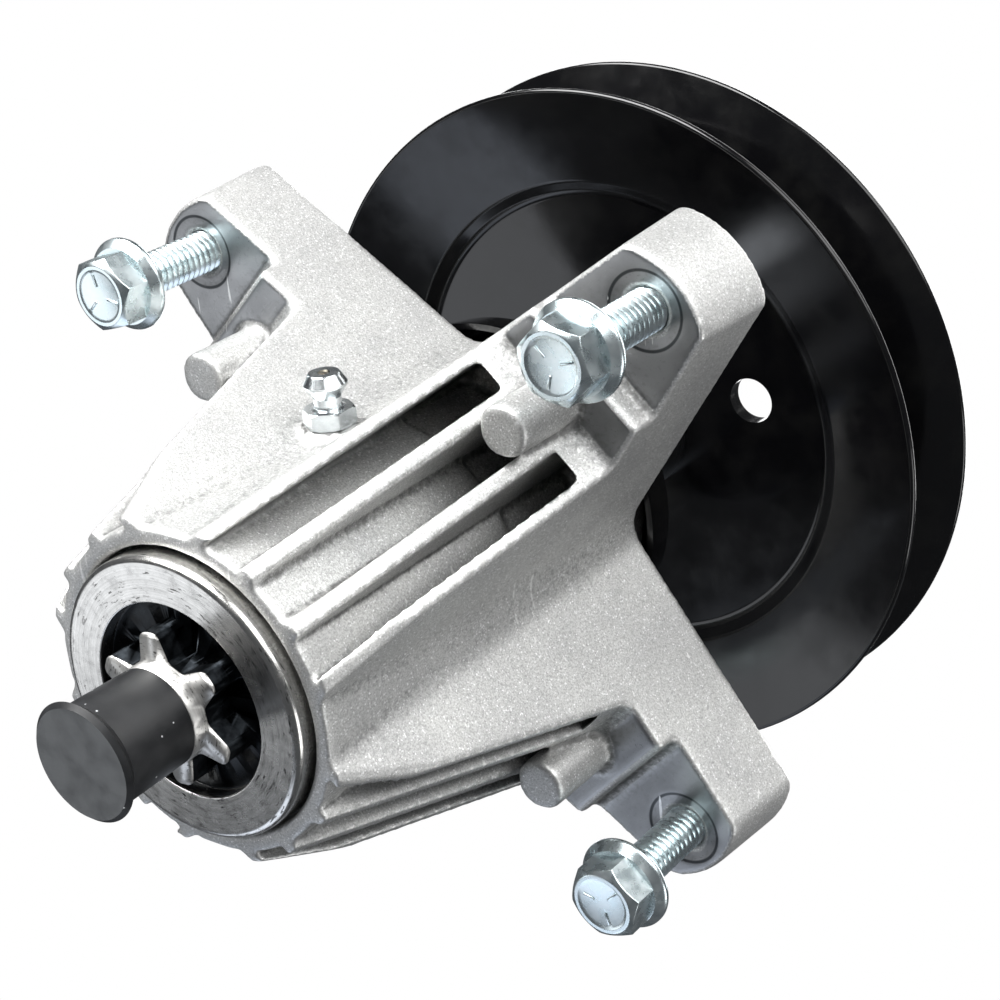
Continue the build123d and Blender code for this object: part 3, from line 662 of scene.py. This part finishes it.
# %% Head, flange and thread of one bolt
hex_flats = 12.7
head_top = -27.0
dish_floor = -26.7
flange_seat = -18.9
bolt_radius = 3.95
bolt_pitch = 25.4 / 18
thread_start = -19.4
bolt_tip = 6.5
bpy.ops.object.select_all(action="DESELECT")
bpy.ops.mesh.primitive_cylinder_add(
    vertices=6, radius=hex_flats / math.sqrt(3) * MM, depth=(flange_seat - head_top) * MM,
    location=(0, 0, (head_top + flange_seat) / 2 * MM), rotation=(0, 0, math.radians(30)))
bolt = bpy.context.object
bolt.name = "bolt_pattern"
bpy.ops.object.transform_apply(location=True, rotation=True, scale=True)
cone = turned("head_cone", [
    (0, dish_floor), (4.4, dish_floor), (4.9, -26.95), (5.1, head_top), (5.7, head_top),
    (8.0, -25.4), (8.0, -20.2), (0, -20.2)])
combine(bolt, cone, "INTERSECT")
apply_modifier(bolt, "BEVEL", width=0.12 * MM, segments=2, limit_method="ANGLE",
               angle_limit=math.radians(28))
flange = turned("bolt_flange", [
    (0, flange_seat), (8.3, flange_seat), (8.6, -19.0), (8.7, -19.25), (8.7, -19.75),
    (8.6, -20.0), (8.35, -20.2), (7.3, -21.3), (0, -21.6)])
combine(bolt, flange, "UNION")
shank = threaded_rod("bolt_thread", bolt_radius, bolt_pitch, thread_start, bolt_tip, 0.0, 1.0)
combine(bolt, shank, "UNION")
bolt.data.calc_loop_triangles()
print("bolt pattern has", len(bolt.data.loop_triangles), "triangles")

# %% [markdown]
# The three marks that tell a bolt's strength are pressed up out of the dish when the head is
# forged. Each one is a small bevelled bar, and the three stand at equal angles.

# %% Raised strength marks
mark_count = 3
mark_radius = 2.9
mark_height = -26.65
for k in range(mark_count):
    turn = math.radians(360 / mark_count * k + 30)
    bpy.ops.object.select_all(action="DESELECT")
    bpy.ops.mesh.primitive_cube_add(
        size=MM, rotation=(0, 0, turn), scale=(2.4, 0.45, 0.5),
        location=(mark_radius * MM * math.cos(turn), mark_radius * MM * math.sin(turn), mark_height * MM))
    mark = bpy.context.object
    bpy.ops.object.transform_apply(location=True, rotation=True, scale=True)
    apply_modifier(mark, "BEVEL", width=0.1 * MM, segments=2)
    combine(bolt, mark, "UNION")

# %% [markdown]
# The same bolt sits in all four ears, so the pattern is copied, each copy with its own mesh,
# and turned with its arm. The pattern itself is thrown away at the end.

# %% One bolt in each ear
arm_angles = [45, 135, 225, 315]
for k, angle in enumerate(arm_angles):
    turn = math.radians(angle)
    copy = bolt.copy()
    copy.data = bolt.data.copy()
    copy.name = "deck_bolt_" + str(k + 1)
    bpy.context.collection.objects.link(copy)
    copy.rotation_euler = (0, 0, turn)
    copy.location = (bolt_circle * MM * math.cos(turn), bolt_circle * MM * math.sin(turn), 0)
    pick(copy)
    bpy.ops.object.transform_apply(location=True, rotation=True, scale=True)
    smooth_skin(copy)
    place_piece(copy, "housing_body", "zinc_bolts", zinc_finish, "mounting_bolts")
bpy.data.objects.remove(bolt)

# %% [markdown]
# ## The shaft's threads
# The engineering model leaves both shaft threads plain. A copy of the shaft is cut off just
# past the collar and just above the upper star, and a wound thread is joined on each end. The
# blade flange is turned again in fine steps, because its ground face mirrors the light.

# %% Thread the shaft
shaft_pitch = 25.4 / 11
shaft_thread_radius = 7.94
shaft_piece = copy_of_node("shaft", "threaded_shaft")
cut_flat(shaft_piece, -75.0, "above")
cut_flat(shaft_piece, 65.4, "below")
core = turned("shaft_core", [(0, -76), (16.0, -76), (16.0, 66), (0, 66)])
combine(shaft_piece, core, "INTERSECT")
flange_section = rounded(
    [(0, -66.42), (17.0, -66.42), (recess_radius, -66.42), (recess_radius, -69.4), (17.9, -69.4),
     (23.9, -69.4), (25.4, -69.4), (25.4, -67.9), (25.4, -61.42), (0, -61.42)],
    [0, 0.3, 0.25, 0, 0, 1.3, 0, 0.5])
combine(shaft_piece, turned("blade_flange", flange_section, 160), "UNION")
lower_thread = threaded_rod("lower_thread", shaft_thread_radius, shaft_pitch, -88.8, -74.2, 1.2, 0.0)
combine(shaft_piece, lower_thread, "UNION")
upper_thread = threaded_rod("upper_thread", shaft_thread_radius, shaft_pitch, 64.0, 85.9, 0.0, 1.2)
combine(shaft_piece, upper_thread, "UNION")
smooth_skin(shaft_piece)
place_piece(shaft_piece, "rotor", "shaft_steel", shaft_finish, "shaft")

# %% [markdown]
# ## The pulley's pressed halves
# Each half is one sheet, pressed to a flat web and a conical wall with soft bends between.
# The engineering model has the same section in few facets, and gloss paint shows every one
# of them, so the section is drawn again with its bends and spun in fine steps.

# %% Cut the star bore and the access hole
sheet_mm = 1.5
web_mm = 62.0
web_edge_mm = 47.7
rim_mm = 70.19
star_points = 6
star_turn = 25.0
hole_radius = 4.6
hole_turn = math.radians(165.5)
hole_place_mm = (32.6 * math.cos(hole_turn), 32.6 * math.sin(hole_turn))


def bore_cutter():
    """Star for the shaft and a round rod for the access hole, through both webs."""
    low = web_mm - 3
    high = web_mm + 2 * sheet_mm + 3
    cutter = turned("bore_cutter", [(0, low), (9.3, low), (9.3, high), (0, high)], 64)
    for k in range(star_points):
        turn = math.radians(star_turn + 360 / star_points * k)
        bpy.ops.object.select_all(action="DESELECT")
        bpy.ops.mesh.primitive_cube_add(
            size=MM, rotation=(0, 0, turn), scale=(6.4, 6.4, high - low),
            location=(9.2 * math.cos(turn) * MM, 9.2 * math.sin(turn) * MM, (low + high) / 2 * MM))
        finger = bpy.context.object
        bpy.ops.object.transform_apply(location=True, rotation=True, scale=True)
        combine(cutter, finger, "UNION")
    rod = turned("hole_rod", [(0, low), (hole_radius, low), (hole_radius, high), (0, high)], 64)
    rod.location = (hole_place_mm[0] * MM, hole_place_mm[1] * MM, 0)
    pick(rod)
    bpy.ops.object.transform_apply(location=True, rotation=True, scale=True)
    combine(cutter, rod, "UNION")
    return cutter


# %% [markdown]
# The two sheets lie back to back at the web and spread apart at the rim, which makes the
# groove for the V belt. Only their lower lines differ, so one function makes both.

# %% Spin the two halves
def pressed_half(name, lower_line_mm, bend_mm, node):
    """One half of the pulley from the lower line of its sheet."""
    upper_line = [(r, z + sheet_mm) for r, z in reversed(lower_line_mm)]
    section = rounded(lower_line_mm + upper_line, [bend_mm, bend_mm, 0.6, 0.6, bend_mm, bend_mm])
    half = turned(name, section, 180)
    combine(half, bore_cutter(), "DIFFERENCE")
    smooth_skin(half)
    place_piece(half, "rotor", "black_paint", paint_finish, node)


pressed_half("pressed_lower_half", [
    (0, web_mm), (web_edge_mm, web_mm), (web_edge_mm + 2.6, web_mm - 2.0), (rim_mm, web_mm - 8.6)],
    3.2, "pulley_lower_half")
pressed_half("pressed_upper_half", [
    (0, web_mm + sheet_mm), (web_edge_mm, web_mm + sheet_mm), (web_edge_mm + 1.6, web_mm + sheet_mm + 3.4),
    (rim_mm, web_mm + 15.2 - sheet_mm)],
    2.2, "pulley_upper_half")

# %% [markdown]
# ## The check spring
# A small coil spring inside the grease fitting holds its check ball up. When a grease gun presses the ball
# in, the coils close up while their foot stays where it is. A copy of the engineering spring is given its
# own mesh, a smooth skin and its finish.

# %% Copy the check spring
check_spring = copy_of_node("grease_fitting_spring", "closing_check_spring")
smooth_skin(check_spring)
place_piece(check_spring, "housing_body", "spring_steel", wire_finish, "grease_fitting_spring")
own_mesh(check_spring)

# %% [markdown]
# ## The pieces that stay as they came
# The cover, the cap, the spacers and the bearings are already right in the engineering
# model, so they only get their finish. The bearings sit inside the housing, and are dressed
# for whoever takes the spindle apart.

# %% Dress the CAD nodes
node_finish = {
    "dust_cover": paint_finish,
    "thread_cap": vinyl_finish, "pulley_washer": zinc_finish, "pulley_nut": zinc_finish,
    "grease_fitting": fitting_finish, "grease_fitting_ball": greased_finish,
    "bearing_spacer": spacer_finish, "cover_spacer": spacer_finish, "hub_spacer": spacer_finish,
}
for place_name in ("lower", "upper"):
    node_finish[place_name + "_bearing_outer_ring"] = ring_finish
    node_finish[place_name + "_bearing_inner_ring"] = ring_finish
    node_finish[place_name + "_bearing_balls"] = ball_finish
    node_finish[place_name + "_bearing_cage"] = nylon_finish
    node_finish[place_name + "_bearing_seals"] = seal_finish
for name, material in node_finish.items():
    piece = nodes[name]
    piece.data.materials.clear()
    piece.data.materials.append(material)
floor_finish = finish("pale_studio_paper", **{"Base Color": linear("#F4F4F2"), "Roughness": 0.8})[0]
floor.data.materials.append(floor_finish)
print("dressed", len(node_finish), "nodes")
